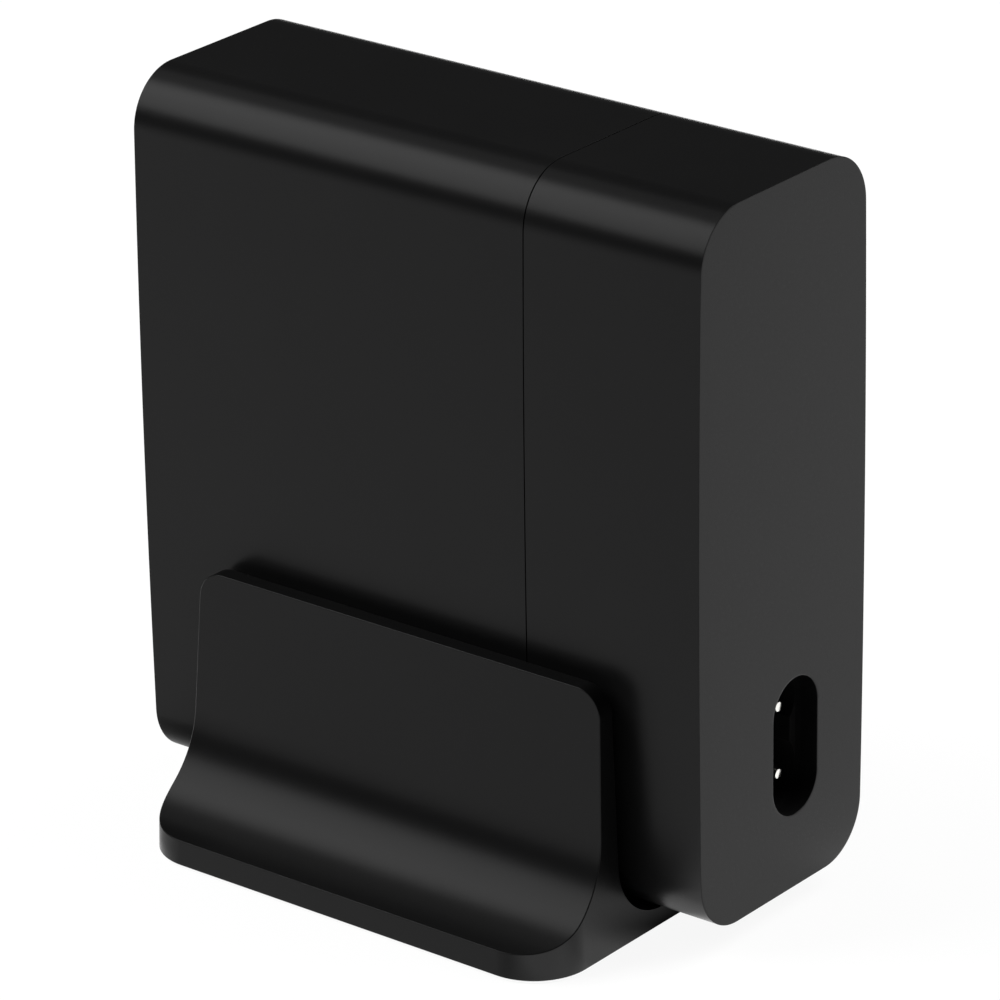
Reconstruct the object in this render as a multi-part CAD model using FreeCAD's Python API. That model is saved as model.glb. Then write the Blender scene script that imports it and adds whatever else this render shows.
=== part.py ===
import FreeCAD, Part
import math
import os
from FreeCAD import Vector

# Multi port USB desktop charger standing in its cradle. Millimetres.
# +X runs from the port end to the inlet end, +Y away from the near face, +Z up.
# The origin is the middle of the underside that rests on the table.

# Charger body
body_length = 82.66
body_width = 31.64
body_height = 88.53
corner_radius = 7.03
face_crown = 0.35
edge_bevel = 0.1
wall = 2.0
end_wall = 2.4

# Seam between the two housings
main_housing_length = 57.86
seam_gap = 0.15
seam_depth = 0.5
tongue_inset = 1.0
tongue_length = 2.5
tongue_clearance = 0.05

# Port end
panel_rim = 1.3
panel_recess = 0.5
panel_thickness = 2.0
panel_clearance = 0.1
port_pitch = 12.0
mouth_recess = 0.3
port_clearance = 0.15
port_depth = 11.9
usb_c_count = 4
usb_c_width = 8.94
usb_c_height = 3.16
usb_c_tongue_width = 6.69
usb_c_tongue_thickness = 0.7
usb_c_base = 5.2
usb_a_count = 2
usb_a_width = 13.1
usb_a_height = 5.72
usb_a_tongue_width = 11.1
usb_a_tongue_thickness = 1.84
usb_a_tongue_gap = 0.64
usb_a_base = 3.0
shell_sheet = 0.3
tongue_setback = 0.9
insert_clearance = 0.05

# Boards and the sheets at the walls
board_thickness = 1.6
board_edge_gap = 1.0
port_board_width = 22.0
port_board_margin = 3.0
solder_gap = 1.6
spreader_thickness = 0.8
spreader_end_gap = 4.0
sheet_thickness = 0.4
rail_thickness = 1.0
rail_reach = 2.0
rail_clearance = 0.1
rail_end_gap = 4.0

# Figure-eight inlet
inlet_height = 18.13
opening_width = 8.69
opening_height = 17.41
inlet_waist = 6.6
inlet_entry = 0.8
inlet_depth = 11.9
inlet_body_width = 13.5
inlet_body_border = 2.2
inlet_back = 2.5
inlet_seat = 0.08
pin_pitch = 8.6
pin_diameter = 2.4
pin_recess = 2.41
pin_tip_bevel = 0.6
pin_clearance = 0.02
anchor_diameter = 2.0
tail_width = 1.6
tail_thickness = 0.8
tail_run = 2.6

# Power parts on the main board
part_gap = 1.0
header_thickness = 2.5
header_height = 2.5
header_length = 20.0
output_cap_diameter = 6.3
output_cap_height = 11.0
output_cap_count = 3
buck_side = 7.3
buck_height = 5.0
buck_corner = 0.8
buck_columns = 2
buck_rows = 2
pfc_length = 18.0
pfc_depth = 16.0
pfc_height = 16.0
pfc_post = 6.0
transformer_length = 25.0
transformer_depth = 22.0
transformer_height = 19.0
transformer_post = 9.0
core_plate = 3.0
core_share = 0.55
core_gap = 0.3
bobbin_wall = 0.8
coil_round = 1.5
heatsink_length = 24.0
heatsink_thickness = 1.5
heatsink_height = 16.0
switch_width = 8.0
switch_height = 8.0
switch_thickness = 2.3
switch_lift = 4.0
switch_leads = 2
bulk_cap_diameter = 12.0
bulk_cap_length = 24.0
bulk_cap_count = 2
bridge_thickness = 3.5
bridge_width = 18.0
bridge_height = 13.0
bridge_leads = 4
bridge_lead = 2.0
bridge_hole = 3.0
lead_thickness = 0.8
x_cap_length = 18.0
x_cap_width = 8.5
x_cap_height = 15.0
x_cap_round = 0.8
y_cap_diameter = 7.0
y_cap_thickness = 3.5
disc_lead = 2.0
thermistor_diameter = 9.5
thermistor_thickness = 5.0
fuse_diameter = 8.4
fuse_height = 7.7
choke_length = 18.0
choke_depth = 18.0
choke_limb = 4.0
choke_thickness = 5.0
choke_wire = 2.0
opto_length = 6.5
opto_width = 4.6
opto_height = 3.5
chip_side = 6.0
chip_height = 0.9

# Cradle and pads
pad_proud = 0.3
base_pad_thickness = 1.0
base_pad_inset = 4.0
base_pad_radius = 4.0
cradle_floor = 2.3
cradle_pad_thickness = 0.6
cradle_pad_inset = 3.0
cradle_pad_edge = 0.35
cradle_length = 62.54
cradle_depth = 63.7
cradle_height = 32.69
cradle_corner = 7.32
cradle_side_taper = 0.043
cradle_wall_top = 2.2
cradle_wall_lean = 0.055
cradle_gap = 1.65
cradle_gap_growth = 0.09
channel_radius = 7.91
cradle_top_corner = 3.4
cradle_rim = 3.29
flare_height = 14.66

# How near two points count as one, and how far a cutting form reaches past what it cuts
tolerance = 0.001
overrun = 1.0

# Places worked out from the sizes
port_x = -body_length / 2
inlet_x = body_length / 2
seam_x = port_x + main_housing_length
floor_top = pad_proud + cradle_floor
body_z0 = floor_top + cradle_pad_thickness
body_z1 = body_z0 + body_height
mid_z = (body_z0 + body_z1) / 2
half_width = body_width / 2
inner_half = half_width - wall
inner_z0 = body_z0 + wall
inner_z1 = body_z1 - wall
inner_x1 = inlet_x - end_wall
inner_radius = corner_radius - wall
panel_x0 = port_x + panel_recess
panel_x1 = panel_x0 + panel_thickness
mouth_x = panel_x0 + mouth_recess
port_board_x = mouth_x + port_depth
port_board_back = port_board_x + board_thickness
board_back_y = inner_half - spreader_thickness - sheet_thickness - solder_gap
board_y = board_back_y - board_thickness
board_z0 = inner_z0 + board_edge_gap
board_z1 = inner_z1 - board_edge_gap
board_x0 = panel_x1 + board_edge_gap
board_x1 = inner_x1 - board_edge_gap
inlet_y = board_y - inlet_seat - inlet_body_width / 2
inlet_z = body_z0 + inlet_height
inlet_floor_x = inlet_x - inlet_depth
inlet_back_x = inlet_floor_x - inlet_back

# Rows of parts, counted from the port board and from the lower edge
first_x = port_board_back + header_thickness + part_gap
first_z = inner_z0 + rail_reach + part_gap
buck_z = first_z
buck_end_x = first_x + buck_columns * (buck_side + part_gap)
pfc_x = buck_end_x + part_gap
pfc_z = first_z
switch_z = pfc_z + pfc_depth + part_gap
heatsink_z = switch_z + switch_thickness
transformer_x = first_x + output_cap_diameter + part_gap
transformer_z = heatsink_z + heatsink_thickness + part_gap
last_z = inner_z1 - rail_reach - part_gap
bulk_z = last_z - bulk_cap_count * bulk_cap_diameter - (bulk_cap_count - 1) * part_gap
bridge_x = first_x + bulk_cap_length + 2 * part_gap
inlet_top_z = inlet_z + opening_height / 2 + inlet_body_border
fuse_z = inlet_top_z + part_gap + fuse_diameter / 2
thermistor_z = fuse_z
x_cap_z = inlet_top_z + 2 * part_gap + max(fuse_diameter, thermistor_diameter)
choke_x = board_x1 - part_gap - choke_wire - choke_length
choke_z = last_z - choke_depth


# Basic forms
def block(x0, x1, y0, y1, z0, z1):
    return Part.makeBox(x1 - x0, y1 - y0, z1 - z0, Vector(x0, y0, z0))


def rod(radius, start, axis, length):
    return Part.makeCylinder(radius, length, Vector(*start), Vector(*axis))


def rounded_wire(x, y0, y1, z0, z1, radius):
    """Rounded rectangle in the plane across X."""
    bend = radius * (1 - math.sqrt(0.5))
    lines = []
    if y1 - y0 > 2 * radius + tolerance:
        lines.append(Part.LineSegment(Vector(x, y0 + radius, z0), Vector(x, y1 - radius, z0)))
        lines.append(Part.LineSegment(Vector(x, y1 - radius, z1), Vector(x, y0 + radius, z1)))
    if z1 - z0 > 2 * radius + tolerance:
        lines.append(Part.LineSegment(Vector(x, y1, z0 + radius), Vector(x, y1, z1 - radius)))
        lines.append(Part.LineSegment(Vector(x, y0, z1 - radius), Vector(x, y0, z0 + radius)))
    for y, side in ((y0, 1), (y1, -1)):
        for z, up in ((z0, 1), (z1, -1)):
            start = Vector(x, y, z + up * radius)
            middle = Vector(x, y + side * bend, z + up * bend)
            end = Vector(x, y + side * radius, z)
            lines.append(Part.Arc(start, middle, end))
    edges = [line.toShape() for line in lines]
    return Part.Wire(Part.__sortEdges__(edges))


def rounded_prism(x0, x1, y0, y1, z0, z1, radius):
    face = Part.Face(rounded_wire(x0, y0, y1, z0, z1, radius))
    return face.extrude(Vector(x1 - x0, 0, 0))


def slot_prism(x0, x1, y, z, width, height):
    """Slot with full round ends, centred at y and z."""
    radius = min(width, height) / 2
    return rounded_prism(x0, x1, y - width / 2, y + width / 2, z - height / 2, z + height / 2, radius)


def edges_where(shape, test):
    """Edges whose every end point passes the test."""
    return [edge for edge in shape.Edges if all(test(vertex.Point) for vertex in edge.Vertexes)]


def along(edge, axis):
    first = edge.Vertexes[0].Point
    last = edge.Vertexes[-1].Point
    run = last - first
    return run.Length > 0.01 and abs(run.normalize().dot(axis)) > 0.999


# Housings
def crowned_prism(x0, x1):
    """The outside of the charger: flat top and underside, large faces crowned a little."""
    flat_height = body_height - 2 * corner_radius
    middle_half = half_width + face_crown
    corner_half = middle_half - face_crown * (body_height / flat_height) ** 2
    near_low = Vector(x0, -corner_half, body_z0)
    near_high = Vector(x0, -corner_half, body_z1)
    far_low = Vector(x0, corner_half, body_z0)
    far_high = Vector(x0, corner_half, body_z1)
    near_face = Part.Arc(near_low, Vector(x0, -middle_half, mid_z), near_high)
    far_face = Part.Arc(far_high, Vector(x0, middle_half, mid_z), far_low)
    top = Part.LineSegment(near_high, far_high)
    underside = Part.LineSegment(far_low, near_low)
    wire = Part.Wire([near_face.toShape(), top.toShape(), far_face.toShape(), underside.toShape()])
    prism = Part.Face(wire).extrude(Vector(x1 - x0, 0, 0))
    long_edges = [edge for edge in prism.Edges if along(edge, Vector(1, 0, 0))]
    return prism.makeFillet(corner_radius, long_edges)


def soften_end(shape, x):
    """Small bevel where the sides meet an end face."""
    rim = edges_where(shape, lambda point: abs(point.x - x) < tolerance)
    return shape.makeChamfer(edge_bevel, rim)


def inset_prism(x0, x1, inset):
    """Straight-sided core of the body's section, set in from its outside."""
    return rounded_prism(x0, x1, inset - half_width, half_width - inset,
                         body_z0 + inset, body_z1 - inset, corner_radius - inset)


def board_rails(x0, x1):
    """Rails at the top and bottom of the cavity that the main board slides between."""
    rails = []
    for z0, z1 in ((body_z0, inner_z0 + rail_reach), (inner_z1 - rail_reach, body_z1)):
        near = board_y - rail_clearance
        far = board_back_y + rail_clearance
        rails.append(block(x0, x1, near - rail_thickness, near, z0, z1))
        rails.append(block(x0, x1, far, far + rail_thickness, z0, z1))
    return Part.makeCompound(rails).common(inset_prism(x0, x1, wall / 2))


def main_housing():
    shell = soften_end(crowned_prism(port_x, seam_x), port_x)
    shell = shell.cut(inset_prism(port_x - overrun, panel_x1, panel_rim))
    shell = shell.cut(inset_prism(port_x, seam_x + overrun, wall))
    tongue = inset_prism(seam_x - tongue_length, seam_x + tongue_length, tongue_inset + tongue_clearance)
    tongue = tongue.cut(inset_prism(port_x, seam_x + 2 * tongue_length, wall))
    rails = board_rails(port_board_back + rail_end_gap, seam_x)
    return shell.fuse([tongue, rails]).removeSplitter()


def end_housing():
    shell = soften_end(crowned_prism(seam_x, inlet_x), inlet_x)
    groove = crowned_prism(seam_x - overrun, seam_x + seam_gap)
    groove = groove.cut(inset_prism(seam_x - 2 * overrun, seam_x + overrun, seam_depth))
    shell = shell.cut(groove)
    shell = shell.cut(inset_prism(seam_x - overrun, inner_x1, wall))
    shell = shell.cut(inset_prism(seam_x - overrun, seam_x + tongue_length + tongue_clearance, tongue_inset))
    opening = slot_prism(inner_x1 - overrun, inlet_x + overrun, inlet_y, inlet_z,
                         opening_width, opening_height)
    return shell.cut(opening).removeSplitter()


# Ports
def port_places():
    """Kind and height of each port, from the top of the column down."""
    kinds = ["c"] * usb_c_count + ["a"] * usb_a_count
    top = mid_z + port_pitch * (len(kinds) - 1) / 2
    return [(kind, top - port_pitch * index) for index, kind in enumerate(kinds)]


def port_opening(kind, z):
    if kind == "c":
        return slot_prism(panel_x0 - overrun, panel_x1 + overrun, 0, z,
                          usb_c_width + 2 * port_clearance, usb_c_height + 2 * port_clearance)
    half = usb_a_width / 2 + port_clearance
    rise = usb_a_height / 2 + port_clearance
    return block(panel_x0 - overrun, panel_x1 + overrun, -half, half, z - rise, z + rise)


def port_panel():
    panel = inset_prism(panel_x0, panel_x1, panel_rim + panel_clearance)
    for kind, z in port_places():
        panel = panel.cut(port_opening(kind, z))
    return panel


def usb_c_shell(z):
    outer = slot_prism(mouth_x, port_board_x, 0, z, usb_c_width, usb_c_height)
    inner = slot_prism(mouth_x - overrun, port_board_x + overrun, 0, z,
                       usb_c_width - 2 * shell_sheet, usb_c_height - 2 * shell_sheet)
    return outer.cut(inner)


def usb_c_insert(z):
    rise = usb_c_height / 2 - shell_sheet - insert_clearance
    side = usb_c_width / 2 - usb_c_height / 2
    base = block(port_board_x - usb_c_base, port_board_x, -side, side, z - rise, z + rise)
    half = usb_c_tongue_width / 2
    thin = usb_c_tongue_thickness / 2
    tongue = block(mouth_x + tongue_setback, port_board_x - usb_c_base / 2, -half, half, z - thin, z + thin)
    return base.fuse(tongue).removeSplitter()


def usb_a_shell(z):
    half = usb_a_width / 2
    rise = usb_a_height / 2
    outer = block(mouth_x, port_board_x, -half, half, z - rise, z + rise)
    half -= shell_sheet
    rise -= shell_sheet
    inner = block(mouth_x - overrun, port_board_x + overrun, -half, half, z - rise, z + rise)
    return outer.cut(inner)


def usb_a_insert(z):
    half = usb_a_width / 2 - shell_sheet - insert_clearance
    rise = usb_a_height / 2 - shell_sheet - insert_clearance
    base = block(port_board_x - usb_a_base, port_board_x, -half, half, z - rise, z + rise)
    side = usb_a_tongue_width / 2
    top = z + usb_a_height / 2 - shell_sheet - usb_a_tongue_gap
    tongue = block(mouth_x + tongue_setback, port_board_x - usb_a_base / 2, -side, side,
                   top - usb_a_tongue_thickness, top)
    return base.fuse(tongue).removeSplitter()


# Inlet
def inlet_body():
    """Socket moulding behind the opening: a short straight entry, then a figure eight."""
    body = slot_prism(inlet_back_x, inner_x1, inlet_y, inlet_z,
                      inlet_body_width, opening_height + 2 * inlet_body_border)
    entry = slot_prism(inner_x1 - inlet_entry, inner_x1 + overrun, inlet_y, inlet_z,
                       opening_width, opening_height)
    cavity = block(inlet_floor_x, inner_x1, inlet_y - inlet_waist / 2, inlet_y + inlet_waist / 2,
                   inlet_z - pin_pitch / 2, inlet_z + pin_pitch / 2)
    round_offset = (opening_height - opening_width) / 2
    for side in (-1, 1):
        start = (inlet_floor_x, inlet_y, inlet_z + side * round_offset)
        cavity = cavity.fuse(rod(opening_width / 2, start, (1, 0, 0), inner_x1 - inlet_floor_x))
    body = body.cut(entry.fuse(cavity))
    for side in (-1, 1):
        start = (inlet_back_x - overrun, inlet_y, inlet_z + side * pin_pitch / 2)
        body = body.cut(rod(anchor_diameter / 2 + pin_clearance, start, (1, 0, 0),
                        inlet_back + 2 * overrun))
    return body


def inlet_pin(side):
    """Contact pin that shoulders on the socket's floor; its thinner tail turns to the main board."""
    z = inlet_z + side * pin_pitch / 2
    tip_x = inlet_x - pin_recess
    pin = rod(pin_diameter / 2, (inlet_floor_x, inlet_y, z), (1, 0, 0), tip_x - inlet_floor_x)
    tip = edges_where(pin, lambda point: abs(point.x - tip_x) < tolerance)
    pin = pin.makeChamfer(pin_tip_bevel, tip)
    anchor = rod(anchor_diameter / 2, (inlet_back_x, inlet_y, z), (1, 0, 0), inlet_back + overrun)
    turn_x = inlet_back_x - tail_run
    low = z - tail_width / 2
    high = z + tail_width / 2
    level = block(turn_x, inlet_back_x + inlet_back / 2, inlet_y - tail_thickness / 2,
                  inlet_y + tail_thickness / 2, low, high)
    upright = block(turn_x, turn_x + tail_thickness, inlet_y, board_y, low, high)
    tail = level.fuse(upright).removeSplitter()
    outside = [edge for edge in tail.Edges if along(edge, Vector(0, 0, 1))
               and abs(edge.Vertexes[0].Point.x - turn_x) < tolerance
               and edge.Vertexes[0].Point.y < inlet_y]
    tail = tail.makeFillet(tail_thickness / 2, outside)
    return pin.fuse([anchor, tail]).removeSplitter()


# Boards and sheets
def main_board():
    return block(board_x0, board_x1, board_y, board_back_y, board_z0, board_z1)


def port_board():
    low = inner_z0 + port_board_margin
    high = inner_z1 - port_board_margin
    return block(port_board_x, port_board_back, board_y - port_board_width, board_y, low, high)


def wall_sheet(y0, y1):
    """Thin sheet against the flat part of a large inner face of the main housing."""
    x0 = port_board_x
    x1 = seam_x - spreader_end_gap
    return block(x0, x1, y0, y1, inner_z0 + inner_radius, inner_z1 - inner_radius)


def board_header():
    low = mid_z - header_length / 2
    return block(port_board_back, port_board_back + header_thickness, board_y - header_height, board_y,
                 low, low + header_length)


def on_board(x, z, length, depth, height):
    """Box that stands on the main board, from its lower corner."""
    return block(x, x + length, board_y - height, board_y, z, z + depth)


def board_rod(diameter, x, z, start, height):
    """Upright rod over the main board, between two heights."""
    return rod(diameter / 2, (x, board_y - start, z), (0, -1, 0), height)


# Wound parts
def wound_set(x, z, length, depth, height, post):
    """Ferrite halves, bobbin and winding round a square post that stands on the main board."""
    middle_x = x + length / 2
    middle_z = z + depth / 2
    core_half = depth * core_share / 2
    post_half = post / 2
    window_end = length / 2 - core_plate
    bore_x = post_half + core_gap
    bore_z = core_half + core_gap
    tube_x = bore_x + bobbin_wall
    tube_z = bore_z + bobbin_wall
    low_y = board_y - core_plate
    high_y = board_y - height + core_plate

    def centred(half_x, y0, y1, half_z):
        return block(middle_x - half_x, middle_x + half_x, y0, y1, middle_z - half_z, middle_z + half_z)

    window = centred(window_end, high_y, low_y, core_half)
    core = centred(length / 2, board_y - height, board_y, core_half)
    core = core.cut(window).fuse(centred(post_half, high_y, low_y, core_half)).removeSplitter()
    below = on_board(x, z, length, depth, height / 2)
    low_flange = low_y - core_gap - bobbin_wall
    high_flange = high_y + core_gap
    tube = centred(tube_x, high_flange, low_y - core_gap, tube_z)
    flange_half = window_end - core_gap
    flanges = [centred(flange_half, y, y + bobbin_wall, depth / 2) for y in (low_flange, high_flange)]
    feet = centred(flange_half, low_flange, board_y, depth / 2)
    feet = feet.cut(block(x, x + length, low_flange, board_y, middle_z - bore_z, middle_z + bore_z))
    bobbin = tube.fuse(flanges + [feet]).cut(centred(bore_x, board_y - height, board_y, bore_z))
    coil = centred(flange_half - core_gap, high_flange + bobbin_wall, low_flange, depth / 2 - core_gap)
    corners = [edge for edge in coil.Edges if along(edge, Vector(0, 1, 0))]
    coil = coil.makeFillet(coil_round, corners).cut(centred(tube_x, board_y - height, board_y, tube_z))
    return core.common(below), core.cut(below), bobbin.removeSplitter(), coil


def choke_core():
    """Rectangular ring of ferrite that lies over the board."""
    far_side = choke_x + choke_length
    top = board_y - choke_wire
    ring = block(choke_x, far_side, top - choke_thickness, top, choke_z, choke_z + choke_depth)
    hole = block(choke_x + choke_limb, far_side - choke_limb, top - choke_thickness, top,
                 choke_z + choke_limb, choke_z + choke_depth - choke_limb)
    return ring.cut(hole)


def choke_winding(side):
    """One winding round the left or the right limb of the ring."""
    limb_x = choke_x if side < 0 else choke_x + choke_length - choke_limb
    low = choke_z + choke_limb + core_gap
    high = choke_z + choke_depth - choke_limb - core_gap
    winding = block(limb_x - choke_wire, limb_x + choke_limb + choke_wire,
                    board_y - choke_thickness - 2 * choke_wire, board_y, low, high)
    edges = [edge for edge in winding.Edges if along(edge, Vector(0, 0, 1))]
    return winding.makeFillet(choke_wire / 2, edges).cut(choke_core())


# Single electrical parts
def lying_capacitor(x, z):
    """Electrolytic can lying along X."""
    radius = bulk_cap_diameter / 2
    return rod(radius, (x, board_y - radius, z), (1, 0, 0), bulk_cap_length)


def output_capacitor(index):
    x = first_x + output_cap_diameter / 2
    z = transformer_z + output_cap_diameter / 2 + index * (output_cap_diameter + part_gap)
    return board_rod(output_cap_diameter, x, z, 0, output_cap_height)


def buck_inductor(column, row):
    x = first_x + column * (buck_side + part_gap)
    z = buck_z + row * (buck_side + part_gap)
    body = on_board(x, z, buck_side, buck_side, buck_height)
    upright = [edge for edge in body.Edges if along(edge, Vector(0, 1, 0))]
    return body.makeChamfer(buck_corner, upright)


def disc_part(x, z, diameter, thickness):
    """Disc on edge that stands on two short leads."""
    radius = diameter / 2
    y = board_y - disc_lead - radius
    disc = rod(radius, (x, y, z), (1, 0, 0), thickness)
    for side in (-1, 1):
        lead = on_board(x + (thickness - lead_thickness) / 2, z + side * radius / 2 - lead_thickness / 2,
                        lead_thickness, lead_thickness, disc_lead + radius)
        disc = disc.fuse(lead)
    return disc.removeSplitter()


def fuse():
    x = board_x1 - part_gap - fuse_diameter / 2
    return board_rod(fuse_diameter, x, fuse_z, 0, fuse_height)


def thermistor():
    x = board_x1 - 2 * part_gap - fuse_diameter - thermistor_thickness
    return disc_part(x, thermistor_z, thermistor_diameter, thermistor_thickness)


def x_capacitor():
    body = on_board(board_x1 - part_gap - x_cap_length, x_cap_z, x_cap_length, x_cap_width, x_cap_height)
    upright = [edge for edge in body.Edges if along(edge, Vector(0, 1, 0))]
    return body.makeFillet(x_cap_round, upright)


def y_capacitor():
    x = pfc_x + pfc_length + part_gap
    return disc_part(x, first_z + y_cap_diameter / 2, y_cap_diameter, y_cap_thickness)


def bridge_rectifier():
    """Flat package that stands on four leads, with its fixing hole."""
    z = bulk_z
    body = block(bridge_x, bridge_x + bridge_thickness, board_y - bridge_lead - bridge_height,
                 board_y - bridge_lead, z, z + bridge_width)
    hole_y = board_y - bridge_lead - bridge_height + bridge_hole
    hole = rod(bridge_hole / 2, (bridge_x - overrun, hole_y, z + bridge_width / 2), (1, 0, 0),
               bridge_thickness + 2 * overrun)
    body = body.cut(hole)
    for index in range(bridge_leads):
        lead_z = z + bridge_width * (index + 0.5) / bridge_leads
        lead = on_board(bridge_x + (bridge_thickness - lead_thickness) / 2, lead_z - lead_thickness / 2,
                        lead_thickness, lead_thickness, bridge_lead + lead_thickness)
        body = body.fuse(lead)
    return body.removeSplitter()


def heatsink():
    return on_board(pfc_x, heatsink_z, heatsink_length, heatsink_thickness, heatsink_height)


def power_switch(index):
    """Flat package against the underside of the heatsink."""
    x = pfc_x + part_gap + index * (switch_width + 2 * part_gap)
    body = block(x, x + switch_width, board_y - switch_lift - switch_height, board_y - switch_lift,
                 heatsink_z - switch_thickness, heatsink_z)
    for number in range(switch_leads):
        middle = x + switch_width * (number + 0.5) / switch_leads
        lead = on_board(middle - lead_thickness / 2, heatsink_z - switch_thickness / 2,
                        lead_thickness, lead_thickness, switch_lift + lead_thickness)
        body = body.fuse(lead)
    return body.removeSplitter()


def optocoupler():
    z = transformer_z - part_gap - opto_width
    return on_board(first_x, z, opto_length, opto_width, opto_height)


def port_controller():
    y = board_y - port_board_width / 2
    return block(port_board_back, port_board_back + chip_height, y - chip_side, y, mid_z, mid_z + chip_side)


def thermal_pad():
    """Soft pad that fills the space from the transformer to the near heat spreader."""
    core_depth = transformer_depth * core_share
    z = transformer_z + (transformer_depth - core_depth) / 2
    return block(transformer_x, transformer_x + transformer_length, spreader_thickness - inner_half,
                 board_y - transformer_height, z, z + core_depth)


# Cradle
def channel_half(z):
    """Half width of the channel that takes the charger, a little wider lower down."""
    wall_top = pad_proud + cradle_height
    low = floor_top + channel_radius
    drop = (wall_top - z) / (wall_top - low)
    return half_width + cradle_gap + cradle_gap_growth * drop


def flare_middle(start, end):
    """Point halfway round the sweep from wall to foot, one arc that leaves the wall smoothly."""
    out = Vector(1, cradle_wall_lean, 0).normalize()
    whole = end - start
    radius = whole.dot(whole) / (2 * whole.dot(out))
    centre = start + out * radius
    return centre + ((start + end) * 0.5 - centre).normalize() * radius


def tangent_arc(start, corner, end):
    """Arc from start to end, tangent at both to the lines through the corner."""
    middle = (start + end) * 0.5
    half_chord = (end - start).Length / 2
    half_turn = math.acos(half_chord / (corner - start).Length)
    rise = (corner - middle).normalize() * half_chord * math.tan(half_turn / 2)
    return Part.Arc(start, middle + rise, end)


def cradle_side(side):
    """Outline of one half of the section, from the foot to the middle of the floor."""
    wall_top = pad_proud + cradle_height
    low = floor_top + channel_radius
    top_outer = channel_half(wall_top) + cradle_wall_top
    flare_z = pad_proud + flare_height
    wall_foot = Vector(top_outer + cradle_wall_lean * (wall_top - flare_z), flare_z, 0)
    rim = Vector(cradle_depth / 2, pad_proud + cradle_rim, 0)

    def place(point):
        return Vector(-cradle_length / 2, side * point.x, point.y)

    bottom_half = channel_half(low)
    foot_low = place(Vector(cradle_depth / 2, pad_proud, 0))
    outer_top = place(Vector(top_outer, wall_top, 0))
    inner_top = place(Vector(channel_half(wall_top), wall_top, 0))
    inner_low = place(Vector(bottom_half, low, 0))
    channel_corner = place(Vector(bottom_half, floor_top, 0))
    floor_edge = place(Vector(bottom_half - channel_radius, floor_top, 0))
    return [Part.LineSegment(foot_low, place(rim)),
            Part.Arc(place(rim), place(flare_middle(wall_foot, rim)), place(wall_foot)),
            Part.LineSegment(place(wall_foot), outer_top),
            Part.LineSegment(outer_top, inner_top),
            Part.LineSegment(inner_top, inner_low),
            tangent_arc(inner_low, channel_corner, floor_edge)]


def cradle_plan(z):
    """Plan outline of the cradle at a height; the ends draw in towards the top."""
    half = cradle_length / 2 - cradle_side_taper * (z - pad_proud)
    flat = rounded_wire(0, -cradle_depth / 2, cradle_depth / 2, -half, half, cradle_corner)
    flat.rotate(Vector(0, 0, 0), Vector(0, 1, 0), 90)
    flat.translate(Vector(0, 0, z))
    return flat


def recess_outline(z, depth, inset):
    half_x = cradle_length / 2 - inset
    half_y = cradle_depth / 2 - inset
    flat = rounded_prism(0, depth, -half_y, half_y, -half_x, half_x, base_pad_radius)
    flat.rotate(Vector(0, 0, 0), Vector(0, 1, 0), -90)
    flat.translate(Vector(0, 0, z))
    return flat


def cradle():
    """One moulding: two leaning walls that sweep out into feet, joined by a floor."""
    wall_top = pad_proud + cradle_height
    near = cradle_side(-1)
    far = cradle_side(1)
    flat_half = channel_half(floor_top + channel_radius) - channel_radius
    x = -cradle_length / 2
    floor = Part.LineSegment(Vector(x, -flat_half, floor_top), Vector(x, flat_half, floor_top))
    underside = Part.LineSegment(Vector(x, -cradle_depth / 2, pad_proud),
                                 Vector(x, cradle_depth / 2, pad_proud))
    edges = [line.toShape() for line in near + far + [floor, underside]]
    section = Part.Face(Part.Wire(Part.__sortEdges__(edges)))
    moulding = section.extrude(Vector(cradle_length, 0, 0))
    envelope = Part.makeLoft([cradle_plan(pad_proud), cradle_plan(wall_top + overrun)], True, True)
    moulding = moulding.common(envelope)
    corners = [edge for edge in edges_where(moulding, lambda point: abs(point.z - wall_top) < tolerance)
               if along(edge, Vector(0, 1, 0))]
    moulding = moulding.makeFillet(cradle_top_corner, corners)
    pocket = base_pad_thickness - pad_proud
    return moulding.cut(recess_outline(pad_proud, pocket, base_pad_inset))


def cradle_pad():
    half_x = cradle_length / 2 - cradle_side_taper * cradle_floor - cradle_pad_inset
    half_y = channel_half(floor_top + channel_radius) - channel_radius - cradle_pad_edge
    return block(-half_x, half_x, -half_y, half_y, floor_top, body_z0)


def base_pad():
    return recess_outline(0, base_pad_thickness, base_pad_inset + panel_clearance)


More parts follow.
